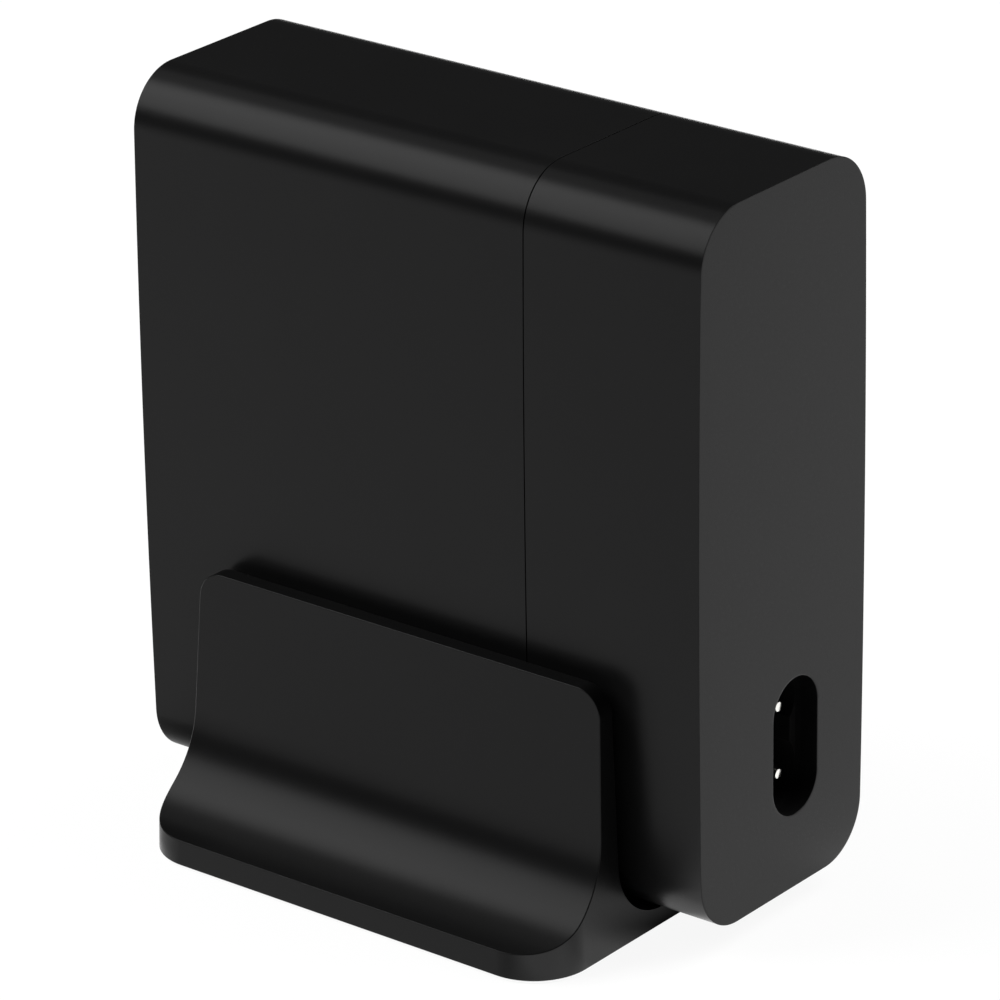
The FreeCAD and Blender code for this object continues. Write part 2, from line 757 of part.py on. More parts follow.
# Every piece by name
def pieces():
    made = {
        "main_housing": main_housing(),
        "end_housing": end_housing(),
        "port_panel": port_panel(),
        "port_board": port_board(),
        "port_controller": port_controller(),
        "board_header": board_header(),
        "main_board": main_board(),
        "inlet_body": inlet_body(),
        "inlet_pin_lower": inlet_pin(-1),
        "inlet_pin_upper": inlet_pin(1),
        "fuse": fuse(),
        "thermistor": thermistor(),
        "x_capacitor": x_capacitor(),
        "y_capacitor": y_capacitor(),
        "choke_core": choke_core(),
        "choke_winding_1": choke_winding(-1),
        "choke_winding_2": choke_winding(1),
        "bridge_rectifier": bridge_rectifier(),
        "heatsink": heatsink(),
        "optocoupler": optocoupler(),
        "thermal_pad": thermal_pad(),
        "near_heat_spreader": wall_sheet(-inner_half, spreader_thickness - inner_half),
        "far_heat_spreader": wall_sheet(inner_half - spreader_thickness, inner_half),
        "insulating_sheet": wall_sheet(board_back_y + solder_gap, inner_half - spreader_thickness),
        "cradle": cradle(),
        "cradle_pad": cradle_pad(),
        "base_pad": base_pad(),
    }
    counts = {"c": 0, "a": 0}
    for kind, z in port_places():
        counts[kind] += 1
        if kind == "c":
            made["usb_c_shell_%d" % counts[kind]] = usb_c_shell(z)
            made["usb_c_insert_%d" % counts[kind]] = usb_c_insert(z)
        else:
            made["usb_a_shell_%d" % counts[kind]] = usb_a_shell(z)
            made["usb_a_insert_%d" % counts[kind]] = usb_a_insert(z)
    wound = {
        "pfc": wound_set(pfc_x, pfc_z, pfc_length, pfc_depth, pfc_height, pfc_post),
        "transformer": wound_set(transformer_x, transformer_z, transformer_length, transformer_depth,
                                 transformer_height, transformer_post),
    }
    for name, parts in wound.items():
        for kind, solid in zip(("core_lower", "core_upper", "bobbin", "winding"), parts):
            made["%s_%s" % (name, kind)] = solid
    for index in range(bulk_cap_count):
        z = bulk_z + bulk_cap_diameter / 2 + index * (bulk_cap_diameter + part_gap)
        made["bulk_capacitor_%d" % (index + 1)] = lying_capacitor(first_x, z)
    for index in range(output_cap_count):
        made["output_capacitor_%d" % (index + 1)] = output_capacitor(index)
    for column in range(buck_columns):
        for row in range(buck_rows):
            number = column * buck_rows + row + 1
            made["buck_inductor_%d" % number] = buck_inductor(column, row)
    for index in range(2):
        made["power_switch_%d" % (index + 1)] = power_switch(index)
    return made


def main():
    os.makedirs("parts", exist_ok=True)
    for name, shape in pieces().items():
        print(name, len(shape.Solids), shape.isValid(), round(shape.Volume, 1))
        shape.exportStep("parts/%s.step" % name)


main()
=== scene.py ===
"""Looks of the multi port USB desktop charger in its cradle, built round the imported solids."""
import math

import bmesh
import bpy
from mathutils import Matrix, Vector


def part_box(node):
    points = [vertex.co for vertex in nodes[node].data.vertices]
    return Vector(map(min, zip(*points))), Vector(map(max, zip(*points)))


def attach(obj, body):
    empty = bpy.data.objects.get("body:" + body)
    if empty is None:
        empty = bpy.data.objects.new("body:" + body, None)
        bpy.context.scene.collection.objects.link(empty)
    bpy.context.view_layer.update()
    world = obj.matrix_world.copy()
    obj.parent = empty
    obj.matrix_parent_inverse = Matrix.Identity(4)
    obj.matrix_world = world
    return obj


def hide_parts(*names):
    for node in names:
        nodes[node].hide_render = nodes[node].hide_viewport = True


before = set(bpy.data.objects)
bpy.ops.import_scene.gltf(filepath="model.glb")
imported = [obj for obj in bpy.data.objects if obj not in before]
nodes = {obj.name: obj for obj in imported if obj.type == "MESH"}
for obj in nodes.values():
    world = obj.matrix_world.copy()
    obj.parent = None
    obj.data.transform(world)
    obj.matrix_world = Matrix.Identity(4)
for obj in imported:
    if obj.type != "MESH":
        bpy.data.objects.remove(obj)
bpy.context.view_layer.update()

MM = 0.001

# Charger, in millimetres
body_length = 82.66
body_width = 31.64
body_height = 88.53
corner_radius = 7.03
face_crown = 0.35
flat_crown = 0.0005
body_z0 = 3.2
wall = 2.0
end_wall = 2.4
seam_x = 16.53
seam_gap = 0.15
seam_depth = 0.5
seam_edge = 0.02
tongue_inset = 1.0
tongue_fit = 0.05
tongue_length = 2.5
panel_rim = 1.3
panel_recess = 0.5
panel_thickness = 2.0
panel_fit = 0.1
panel_edge = 0.12
rim_edge = 0.04
port_x = -body_length / 2
inlet_x = body_length / 2
inner_x1 = inlet_x - end_wall
body_z1 = body_z0 + body_height
mid_z = body_z0 + body_height / 2
half_width = body_width / 2

# Inlet
opening_width = 8.69
opening_height = 17.41
inlet_waist = 6.6
inlet_entry = 0.8
inlet_entry_fit = 0.04
inlet_edge = 0.08
inlet_depth = 11.9
inlet_body_width = 13.5
inlet_body_border = 2.2
inlet_back = 2.5
pin_pitch = 8.6
pin_radius = 1.2
pin_recess = 2.41
pin_flat = 0.56
pin_tip = 1.3
pin_edge = 0.04
pin_fit = 0.02
anchor_radius = 1.0
tail_width = 1.6
tail_thickness = 0.8
tail_run = 2.6
inlet_floor_x = inlet_x - inlet_depth
inlet_back_x = inlet_floor_x - inlet_back
socket_low, socket_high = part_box("inlet_body")
inlet_y = (socket_low.y + socket_high.y) / 2 / MM
inlet_z = (socket_low.z + socket_high.z) / 2 / MM

# Ports: sizes are width and height, contacts are length, width and how far they stand proud
port_pitch = 12.0
port_depth = 11.9
mouth_recess = 0.3
port_fit = 0.15
usb_c_count = 4
usb_a_count = 2
usb_c_size = (8.94, 3.16)
usb_a_size = (13.1, 5.72)
usb_a_corner = 0.45
opening_corner = 0.35
usb_c_tongue = (6.69, 0.7)
usb_a_tongue = (11.1, 1.84)
usb_a_tongue_gap = 0.64
usb_c_base = 5.2
usb_a_base = 3.0
shell_sheet = 0.3
insert_fit = 0.05
tongue_setback = 0.9
tongue_edge = 0.12
tongue_root = 0.3
usb_c_contacts = 12
usb_c_contact = (3.3, 0.28, 0.03)
usb_c_contact_pitch = 0.5
usb_a_contact = (5.6, 1.0, 0.04)
usb_a_contact_places = (-3.5, -1.0, 1.0, 3.5)
contact_sink = 0.02
panel_x0 = port_x + panel_recess
panel_x1 = panel_x0 + panel_thickness
mouth_x = panel_x0 + mouth_recess
port_board_x = mouth_x + port_depth

# Rails inside the sleeve
rail_thickness = 1.0
rail_reach = 2.0
rail_fit = 0.1
rail_setback = 5.6
rail_x0 = port_board_x + rail_setback

# Cradle
pad_proud = 0.3
cradle_length = 62.54
cradle_depth = 63.7
cradle_height = 32.69
cradle_corner = 7.32
side_taper = 0.043
wall_top_thickness = 2.2
wall_lean = 0.055
cradle_gap = 1.65
gap_growth = 0.09
channel_radius = 7.91
top_corner = 3.4
cradle_rim = 3.29
flare_height = 14.66
floor_top = 2.6
base_pad_inset = 4.0
base_pad_radius = 4.0
base_pad_thickness = 1.0
cradle_edge = 0.13
wall_top_z = pad_proud + cradle_height
rim_z = pad_proud + cradle_rim
flare_z = pad_proud + flare_height
channel_low_z = floor_top + channel_radius

# Fineness of the meshes
corner_steps = 24
face_steps = 12
edge_steps = 4
flare_steps = 24
plan_steps = 20
circle_steps = 32
join_digits = 4
sharp_angle = math.radians(32)
normal_weight = 80

# Width of the flat strip beside a rounding, which keeps the shading of the face even
flat_margin = 0.25

# Rows of the cradle's outer contour: the first of the sweep, and the first of the plan corner
sweep_row = plan_steps + 1
corner_row = sweep_row + flare_steps

rebuilt = set()


# Meshes
def mesh_piece(name, faces, finish, replaced=()):
    """Makes a piece from faces, each a list of points in millimetres, and joins equal corners."""
    mesh = bpy.data.meshes.new(name)
    built = bmesh.new()
    seen = {}
    for points in faces:
        corners = []
        for point in points:
            key = tuple(round(value, join_digits) for value in point)
            if key not in seen:
                seen[key] = built.verts.new(Vector(point) * MM)
            if seen[key] not in corners:
                corners.append(seen[key])
        if len(corners) > 2 and built.faces.get(corners) is None:
            built.faces.new(corners)
    bmesh.ops.recalc_face_normals(built, faces=built.faces)
    for face in built.faces:
        face.smooth = True
    for edge in built.edges:
        edge.smooth = len(edge.link_faces) == 2 and edge.calc_face_angle() < sharp_angle
    built.to_mesh(mesh)
    built.free()
    piece = bpy.data.objects.new(name, mesh)
    bpy.context.scene.collection.objects.link(piece)
    mesh.materials.append(finish)
    weigh = piece.modifiers.new("weigh", "WEIGHTED_NORMAL")
    weigh.keep_sharp = True
    weigh.weight = normal_weight
    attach(piece, "root")
    if replaced:
        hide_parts(*replaced)
        rebuilt.update(replaced)


def ring_faces(first, second):
    """Quads between two closed loops of as many points."""
    count = len(first)
    return [[first[i], first[(i + 1) % count], second[(i + 1) % count], second[i]] for i in range(count)]


def strip_faces(first, second):
    """Quads between two open rows of as many points."""
    return [[first[i], first[i + 1], second[i + 1], second[i]] for i in range(len(first) - 1)]


def lofted(rings, closed=False):
    """Quads from each ring to the next, and from the last to the first where it is closed."""
    faces = []
    for first, second in zip(rings, rings[1:]):
        faces += ring_faces(first, second)
    if closed:
        faces += ring_faces(rings[-1], rings[0])
    return faces


def filled(loops):
    """Triangles of a flat face with holes, from its loops."""
    flat = bmesh.new()
    edges = []
    for loop in loops:
        corners = [flat.verts.new(Vector(point)) for point in loop]
        edges += [flat.edges.new((corners[i - 1], corners[i])) for i in range(len(corners))]
    bmesh.ops.triangle_fill(flat, edges=edges, use_beauty=True)
    faces = [[tuple(corner.co) for corner in face.verts] for face in flat.faces]
    flat.free()
    return faces


def box_faces(low, high):
    x0, y0, z0 = low
    x1, y1, z1 = high
    under = [(x0, y0, z0), (x1, y0, z0), (x1, y1, z0), (x0, y1, z0)]
    over = [(x, y, z1) for x, y, z in under]
    return ring_faces(under, over) + [under, over]


def rounded_loop(half_u, half_v, radius, steps, centre=(0, 0)):
    """Rounded rectangle as points (u, v)."""
    points = []
    for turn, (su, sv) in enumerate(((1, 1), (-1, 1), (-1, -1), (1, -1))):
        for k in range(steps + 1):
            angle = math.pi / 2 * (turn + k / steps)
            points.append((centre[0] + su * (half_u - radius) + radius * math.cos(angle),
                           centre[1] + sv * (half_v - radius) + radius * math.sin(angle)))
    return points


def across_x(loop, x):
    return [(x, u, v) for u, v in loop]


def rounding(radius):
    """Rows of a small rounding between two faces: how far each is from the second and the first."""
    turns = [math.pi / 2 * k / edge_steps for k in range(edge_steps + 1)]
    return [(radius * (1 - math.sin(turn)), radius * (1 - math.cos(turn))) for turn in turns]


def section_loop(x, inset, crown):
    """The charger's section at x, set in from its outside, with arcs for its faces and corners."""
    flat = body_height - 2 * corner_radius
    sag = crown * (body_height / flat) ** 2
    big = ((body_height / 2) ** 2 + sag ** 2) / (2 * sag)
    big_y = half_width + crown - big
    centre_z = body_height / 2 - corner_radius
    centre_y = big_y + math.sqrt((big - corner_radius) ** 2 - centre_z ** 2)
    tilt = math.atan2(centre_z, centre_y - big_y)
    radius = corner_radius - inset
    quarter = []
    for k in range(face_steps):
        angle = tilt * k / face_steps
        quarter.append((big_y + (big - inset) * math.cos(angle), (big - inset) * math.sin(angle)))
    for k in range(corner_steps + 1):
        angle = tilt + (math.pi / 2 - tilt) * k / corner_steps
        quarter.append((centre_y + radius * math.cos(angle), centre_z + radius * math.sin(angle)))
    upper = quarter + [(-y, z) for y, z in reversed(quarter)]
    lower = [(y, -z) for y, z in reversed(upper[1:-1])]
    return [(x, y, mid_z + z) for y, z in upper + lower]


def crowned(x, inset):
    """Section of the charger's outside, whose two large faces bulge a little."""
    return section_loop(x, inset, face_crown)


def straight(x, inset):
    """Section with flat faces, for what lies inside."""
    return section_loop(x, inset, flat_crown)


def edge_rings(make, x, outward, radius):
    """Rings of the small rounding at x, from the side onto the end face."""
    return [make(x - outward * before, past) for before, past in rounding(radius)]


# Node materials
grain_detail = 3
cloud_scale = 60
cloud_detail = 4
noise_low = 0.3
noise_high = 0.7
gloss_spread = 0.06
plastic_grain_depth = 0.02
plastic_tone_spread = 0.06
metal_grain_scale = 3000
metal_grain_strength = 0.05
metal_grain_depth = 0.01
metal_tone_spread = 0.04
metal_specular = 0.5
ridge_strength = 0.8
ridge_share = 0.25

# How far a wave texture of scale 1 turns in a metre, in radians
wave_phase_per_metre = 20


def noise(tree, place, scale, detail):
    """Value of a noise that lies still in the solid."""
    made = tree.nodes.new("ShaderNodeTexNoise")
    made.inputs["Scale"].default_value = scale
    made.inputs["Detail"].default_value = detail
    tree.links.new(place.outputs["Object"], made.inputs["Vector"])
    return made.outputs["Fac"]


def bumped(tree, height, strength, distance):
    """Bump node for a height, its distance in metres."""
    bump = tree.nodes.new("ShaderNodeBump")
    bump.inputs["Strength"].default_value = strength
    bump.inputs["Distance"].default_value = distance
    tree.links.new(height, bump.inputs["Height"])
    return bump


def grained(name, tone, roughness, metallic, specular, scale, strength, depth, spread):
    """A material with fine grain as bump, and a little unevenness in its colour and gloss.

    Its sockets also keep the plain tone and gloss, for viewers that follow no nodes.
    """
    made = bpy.data.materials.new(name)
    made.use_nodes = True
    tree = made.node_tree
    shader = tree.nodes["Principled BSDF"]
    shader.inputs["Base Color"].default_value = (*tone, 1)
    shader.inputs["Roughness"].default_value = roughness
    shader.inputs["Metallic"].default_value = metallic
    shader.inputs["Specular IOR Level"].default_value = specular
    place = tree.nodes.new("ShaderNodeTexCoord")
    fine = noise(tree, place, scale, grain_detail)
    bump = bumped(tree, fine, strength, depth * MM)
    tree.links.new(bump.outputs["Normal"], shader.inputs["Normal"])
    ramp = tree.nodes.new("ShaderNodeValToRGB")
    dark, light = ramp.color_ramp.elements
    dark.position = noise_low
    light.position = noise_high
    dark.color = (*[value * (1 - spread) for value in tone], 1)
    light.color = (*[value * (1 + spread) for value in tone], 1)
    tree.links.new(noise(tree, place, cloud_scale, cloud_detail), ramp.inputs["Fac"])
    tree.links.new(ramp.outputs["Color"], shader.inputs["Base Color"])
    gloss = tree.nodes.new("ShaderNodeMapRange")
    gloss.inputs["From Min"].default_value = noise_low
    gloss.inputs["From Max"].default_value = noise_high
    gloss.inputs["To Min"].default_value = roughness * (1 - gloss_spread)
    gloss.inputs["To Max"].default_value = roughness * (1 + gloss_spread)
    tree.links.new(fine, gloss.inputs["Value"])
    tree.links.new(gloss.outputs["Result"], shader.inputs["Roughness"])
    return made


def plastic(name, tone, roughness, specular=0.045, scale=6500, strength=0.3):
    return grained(name, tone, roughness, 0.0, specular, scale, strength,
                   plastic_grain_depth, plastic_tone_spread)


def metal(name, tone, roughness):
    return grained(name, tone, roughness, 1.0, metal_specular, metal_grain_scale, metal_grain_strength,
                   metal_grain_depth, metal_tone_spread)


def wound(made, pitch):
    """Ridges of wire turns or tape layers laid one above the other, pitch in millimetres."""
    tree = made.node_tree
    shader = tree.nodes["Principled BSDF"]
    fine = shader.inputs["Normal"].links[0].from_socket
    place = next(node for node in tree.nodes if node.bl_idname == "ShaderNodeTexCoord")
    turns = tree.nodes.new("ShaderNodeTexWave")
    turns.bands_direction = "Z"
    turns.inputs["Scale"].default_value = 2 * math.pi / (wave_phase_per_metre * pitch * MM)
    tree.links.new(place.outputs["Object"], turns.inputs["Vector"])
    ridge = bumped(tree, turns.outputs["Fac"], ridge_strength, pitch * ridge_share * MM)
    tree.links.new(fine, ridge.inputs["Normal"])
    tree.links.new(ridge.outputs["Normal"], shader.inputs["Normal"])
    return made


black = (0.003, 0.003, 0.00305)
housing_plastic = plastic("satin_black", black, 0.29)
cradle_plastic = plastic("satin_black_cradle", black, 0.29)
panel_plastic = plastic("panel_black", (0.006, 0.006, 0.0062), 0.35)
inlet_plastic = plastic("socket_black", (0.004, 0.004, 0.004), 0.5)
insert_plastic = plastic("insert_black", (0.008, 0.008, 0.008), 0.45, specular=0.3)
silicone = plastic("silicone_black", (0.01, 0.01, 0.01), 0.62, specular=0.3, scale=4000, strength=0.2)
rubber = plastic("rubber_black", (0.014, 0.014, 0.014), 0.75, specular=0.3, scale=2500)
solder_mask = plastic("solder_mask", (0.01, 0.06, 0.022), 0.35, specular=0.5, scale=1500, strength=0.15)
epoxy = plastic("epoxy_black", (0.012, 0.012, 0.012), 0.55, specular=0.4, scale=5000)
green_glaze = plastic("thermistor_green", (0.02, 0.09, 0.03), 0.4, specular=0.5, scale=700)
blue_glaze = plastic("disc_blue", (0.015, 0.09, 0.3), 0.38, specular=0.5, scale=700)
box_plastic = plastic("box_yellow", (0.6, 0.4, 0.04), 0.45, specular=0.5, scale=2500, strength=0.12)
ferrite = plastic("ferrite_grey", (0.035, 0.035, 0.038), 0.6, specular=0.5, scale=2500, strength=0.35)
phenolic = plastic("phenolic_black", (0.015, 0.013, 0.012), 0.5, specular=0.4, scale=3000, strength=0.2)
sleeve_film = plastic("sleeve_black", (0.012, 0.012, 0.016), 0.28, specular=0.5, scale=900, strength=0.08)
iron_powder = plastic("powder_grey", (0.06, 0.06, 0.062), 0.55, specular=0.4, scale=3500, strength=0.4)
amber_film = plastic("film_amber", (0.35, 0.14, 0.02), 0.3, specular=0.5, scale=800, strength=0.08)
gap_filler = plastic("filler_grey", (0.25, 0.26, 0.3), 0.8, specular=0.3, scale=2000, strength=0.4)
yellow_tape = plastic("tape_yellow", (0.62, 0.42, 0.03), 0.3, specular=0.5, scale=500, strength=0.15)
tape = wound(yellow_tape, 3.0)
pin_metal = metal("nickel", (0.36, 0.355, 0.34), 0.16)
shell_metal = metal("drawn_steel", (0.32, 0.32, 0.33), 0.28)
gold_metal = metal("gold_plate", (0.85, 0.58, 0.22), 0.25)
aluminium = metal("aluminium", (0.6, 0.6, 0.61), 0.35)
copper = wound(metal("copper_wire", (0.6, 0.22, 0.08), 0.3), 0.8)

# Finish of each solid that stays, by a part of its name: the longest part that fits counts
solid_finishes = {
    "cradle_pad": silicone, "base_pad": rubber,
    "board": solder_mask, "header": insert_plastic, "controller": epoxy, "rectifier": epoxy,
    "switch": epoxy, "optocoupler": epoxy, "fuse": epoxy, "thermistor": green_glaze,
    "y_capacitor": blue_glaze, "x_capacitor": box_plastic, "core": ferrite, "winding": tape,
    "choke_winding": copper, "bobbin": phenolic, "bulk": sleeve_film, "output": sleeve_film,
    "buck": iron_powder, "heatsink": aluminium, "spreader": aluminium,
    "insulating_sheet": amber_film, "thermal_pad": gap_filler,
}


# Charger housing
def rail_faces():
    """The two pairs of rails that the main board slides between."""
    low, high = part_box("main_board")
    faces = []
    for near in (low.y / MM - rail_fit - rail_thickness, high.y / MM + rail_fit):
        for z0, z1 in ((body_z0 + wall / 2, body_z0 + wall + rail_reach),
                       (body_z1 - wall - rail_reach, body_z1 - wall / 2)):
            faces += box_faces((rail_x0, near, z0), (seam_x, near + rail_thickness, z1))
    return faces


def make_main_housing():
    """Sleeve, with a lip round the panel at one end and half of the lap joint at the other."""
    lap_x = seam_x + tongue_length
    lap = tongue_inset + tongue_fit
    rings = edge_rings(crowned, seam_x, 1, seam_edge)[::-1]
    rings += edge_rings(crowned, port_x, -1, rim_edge)
    rings += [straight(port_x, panel_rim), straight(panel_x1, panel_rim), straight(panel_x1, wall)]
    rings += [straight(lap_x, wall), straight(lap_x, lap), straight(seam_x, lap)]
    faces = lofted(rings, True) + rail_faces()
    mesh_piece("charger_sleeve", faces, housing_plastic, ["main_housing"])


def slot_loop(x, grow=0.0):
    """The inlet's opening at x, larger all round by grow."""
    radius = opening_width / 2 + grow
    half = opening_height / 2 + grow
    return across_x(rounded_loop(radius, half, radius, corner_steps, (inlet_y, inlet_z)), x)


def make_end_housing():
    """Cap with the inlet's opening in its end face, and the other half of the lap joint."""
    cap_x = seam_x + seam_gap
    lap_x = seam_x + tongue_length + tongue_fit
    rings = [straight(seam_x, seam_depth), straight(cap_x, seam_depth)]
    rings += edge_rings(crowned, cap_x, -1, seam_edge)[::-1]
    rings += edge_rings(crowned, inlet_x, 1, rim_edge) + [crowned(inlet_x, rim_edge + flat_margin)]
    inner = [straight(inner_x1, wall), straight(lap_x, wall)]
    inner += [straight(lap_x, tongue_inset), straight(seam_x, tongue_inset)]
    mouth = [slot_loop(inlet_x, inlet_edge + flat_margin)]
    mouth += [slot_loop(inlet_x - depth, grow) for grow, depth in rounding(inlet_edge)]
    mouth.append(slot_loop(inner_x1))
    faces = lofted(rings) + lofted(inner) + ring_faces(inner[-1], rings[0]) + lofted(mouth)
    faces += filled([rings[-1], mouth[0]]) + filled([inner[0], mouth[-1]])
    mesh_piece("charger_end_cap", faces, housing_plastic, ["end_housing"])


# Cradle
def flare_arc():
    """Centre and radius of the sweep from wall to rim, in half section (outward, up)."""
    lean = math.atan(wall_lean)
    top_u = half_width + cradle_gap + wall_top_thickness + wall_lean * (wall_top_z - flare_z)
    start = Vector((top_u, flare_z))
    whole = Vector((cradle_depth / 2, rim_z)) - start
    inward = Vector((math.cos(lean), math.sin(lean)))
    radius = whole.length_squared / (2 * whole.dot(inward))
    return start + inward * radius, radius


def plan_reach(u, z):
    """How far the cradle reaches along X at a place, and the normal of its end there (x, u, z)."""
    half = cradle_length / 2 - side_taper * (z - pad_proud)
    past = max(0.0, u - (cradle_depth / 2 - cradle_corner))
    across = math.sqrt(max(0.0, cradle_corner ** 2 - past ** 2))
    normal = Vector((across / cradle_corner, past / cradle_corner, side_taper * across / cradle_corner))
    return half - cradle_corner + across, normal.normalized()


def top_arc():
    """Corner of the wall's top: points (x, z) with the normals of the end."""
    tilt = math.atan(side_taper)
    centre_z = wall_top_z - top_corner
    reach = cradle_length / 2 - side_taper * (centre_z - pad_proud)
    centre_x = reach - top_corner * math.sqrt(1 + side_taper ** 2)
    points = []
    for k in range(plan_steps + 1):
        angle = math.pi / 2 + (tilt - math.pi / 2) * k / plan_steps
        direction = Vector((math.cos(angle), 0, math.sin(angle)))
        points.append((centre_x + top_corner * direction.x, centre_z + top_corner * direction.z, direction))
    return points


def fillet(point, normal, end_normal):
    """Small rounding between two surfaces that meet at the point."""
    centre = point - (normal + end_normal) * (cradle_edge / (1 + normal.dot(end_normal)))
    return [tuple(centre + normal.slerp(end_normal, k / edge_steps) * cradle_edge)
            for k in range(edge_steps + 1)]


def outer_contour():
    """Edge of one wall's outside and foot, from the wall's top to the rim, each as a rounding."""
    rows = []
    lean = math.atan(wall_lean)
    face = Vector((0, math.cos(lean), math.sin(lean)))
    centre, radius = flare_arc()
    for x, z, end_normal in top_arc():
        u = half_width + cradle_gap + wall_top_thickness + wall_lean * (wall_top_z - z)
        rows.append((Vector((x, u, z)), face, end_normal))
    corner_u = cradle_depth / 2 - cradle_corner
    corner_angle = math.acos((centre.x - corner_u) / radius)
    places = []
    for k in range(flare_steps):
        angle = lean + (corner_angle - lean) * k / flare_steps
        places.append((centre.x - radius * math.cos(angle), angle))
    for k in range(plan_steps + 1):
        u = corner_u + cradle_corner * math.sin(math.pi / 2 * k / plan_steps)
        places.append((u, math.acos((centre.x - u) / radius)))
    for u, angle in places:
        z = centre.y - radius * math.sin(angle)
        x, end_normal = plan_reach(u, z)
        rows.append((Vector((x, u, z)), Vector((0, math.cos(angle), math.sin(angle))), end_normal))
    return [fillet(*row) for row in rows]


def inner_contour():
    """Edge of the channel, from the wall's top to the middle of the floor."""
    slope = gap_growth / (wall_top_z - channel_low_z)
    face = Vector((0, -1, -slope)).normalized()
    rows = []
    for x, z, end_normal in top_arc():
        u = half_width + cradle_gap + slope * (wall_top_z - z)
        rows.append((Vector((x, u, z)), face, end_normal))
    low_u = half_width + cradle_gap + gap_growth
    u = half_width + cradle_gap + slope * (wall_top_z - flare_z)
    x, end_normal = plan_reach(0, flare_z)
    rows.append((Vector((x, u, flare_z)), face, end_normal))
    for k in range(corner_steps + 1):
        angle = math.pi / 2 * k / corner_steps
        u = low_u - channel_radius + channel_radius * math.cos(angle)
        z = channel_low_z - channel_radius * math.sin(angle)
        x, end_normal = plan_reach(0, z)
        rows.append((Vector((x, u, z)), Vector((0, -math.cos(angle), math.sin(angle))), end_normal))
    return [fillet(*row) for row in rows]


def bottom_contour():
    """Lower edge of the cradle's corner, from its end to its rim."""
    rows = []
    for k in range(plan_steps + 1):
        u = cradle_depth / 2 - cradle_corner + cradle_corner * math.sin(math.pi / 2 * k / plan_steps)
        x, end_normal = plan_reach(u, pad_proud)
        end_normal.z = 0
        rows.append(fillet(Vector((x, u, pad_proud)), Vector((0, 0, -1)), end_normal.normalized()))
    return rows


def turned(points, side_x, side_y):
    """Points mirrored to one of the cradle's four quarters."""
    return [(side_x * x, side_y * y, z) for x, y, z in points]


def starts(rows):
    return [row[0] for row in rows]


def ends(rows):
    return [row[-1] for row in rows]


def side_faces(side_y, outer, inner, bottom):
    """One wall with its foot: roundings at its ends, long faces, and the ends of wall and corner."""
    faces = []
    for side_x in (-1, 1):
        for rows in (outer, inner, bottom):
            lines = [turned(line, side_x, side_y) for line in zip(*rows)]
            for first, second in zip(lines, lines[1:]):
                faces += strip_faces(first, second)
        for first, second in ((outer[:sweep_row + 1], inner[:sweep_row + 1]), (outer[corner_row:], bottom)):
            faces += strip_faces(turned(ends(first), side_x, side_y), turned(ends(second), side_x, side_y))
    long_rows = [starts(outer), starts(inner), outer[0], inner[0], outer[-1], bottom[-1]]
    long_rows += [[outer[0][-1], inner[0][-1]], [outer[-1][-1], bottom[-1][-1]]]
    for row in long_rows:
        faces += strip_faces(turned(row, 1, side_y), turned(row, -1, side_y))
    return faces


def end_faces(side_x, outer, inner, bottom):
    """One end below the walls, and the roundings of the channel's floor and the underside there."""
    foot = ends(outer[sweep_row:corner_row + 1]) + [bottom[0][-1]]
    hollow = ends(inner[sweep_row:])
    loop = turned(foot, side_x, -1) + turned(foot[::-1], side_x, 1)
    loop += turned(hollow, side_x, 1) + turned(hollow[::-1], side_x, -1)
    faces = [loop]
    for row in (inner[-1], bottom[0]):
        faces += strip_faces(turned(row, side_x, 1), turned(row, side_x, -1))
    return faces


def underside_faces(bottom):
    """The flat under the cradle, with the shallow pocket of the base pad."""
    edge = starts(bottom)
    under = turned(edge, 1, 1) + turned(edge[::-1], -1, 1)
    under += turned(edge, -1, -1) + turned(edge[::-1], 1, -1)
    pocket = rounded_loop(cradle_length / 2 - base_pad_inset, cradle_depth / 2 - base_pad_inset,
                          base_pad_radius, corner_steps)
    lip = [(x, y, pad_proud) for x, y in pocket]
    roof = [(x, y, base_pad_thickness) for x, y in pocket]
    return filled([under, lip]) + ring_faces(lip, roof) + [roof]


def make_cradle():
    """One moulding, its four quarters alike."""
    outer = outer_contour()
    inner = inner_contour()
    bottom = bottom_contour()
    faces = []
    for side in (-1, 1):
        faces += side_faces(side, outer, inner, bottom) + end_faces(side, outer, inner, bottom)
    floor_corner = [inner[-1][0]]
    faces.append(turned(floor_corner, 1, 1) + turned(floor_corner, 1, -1)
                 + turned(floor_corner, -1, -1) + turned(floor_corner, -1, 1))
    faces += underside_faces(bottom)
    mesh_piece("cradle_moulding", faces, cradle_plastic, ["cradle"])


# Inlet
def eight_loop(x):
    """Figure eight: two circles joined by a narrower waist."""
    radius = opening_width / 2
    offset = opening_height / 2 - radius
    low = -math.acos(inlet_waist / 2 / radius)
    upper = []
    for k in range(2 * corner_steps + 1):
        angle = low + (math.pi - 2 * low) * k / (2 * corner_steps)
        upper.append((radius * math.cos(angle), offset + radius * math.sin(angle)))
    return [(x, inlet_y + y, inlet_z + z) for y, z in upper + [(-y, -z) for y, z in upper]]


def circle(x, z, radius):
    """Circle across X round a contact pin's line."""
    turns = [2 * math.pi * k / circle_steps for k in range(circle_steps)]
    return [(x, inlet_y + radius * math.cos(turn), z + radius * math.sin(turn)) for turn in turns]


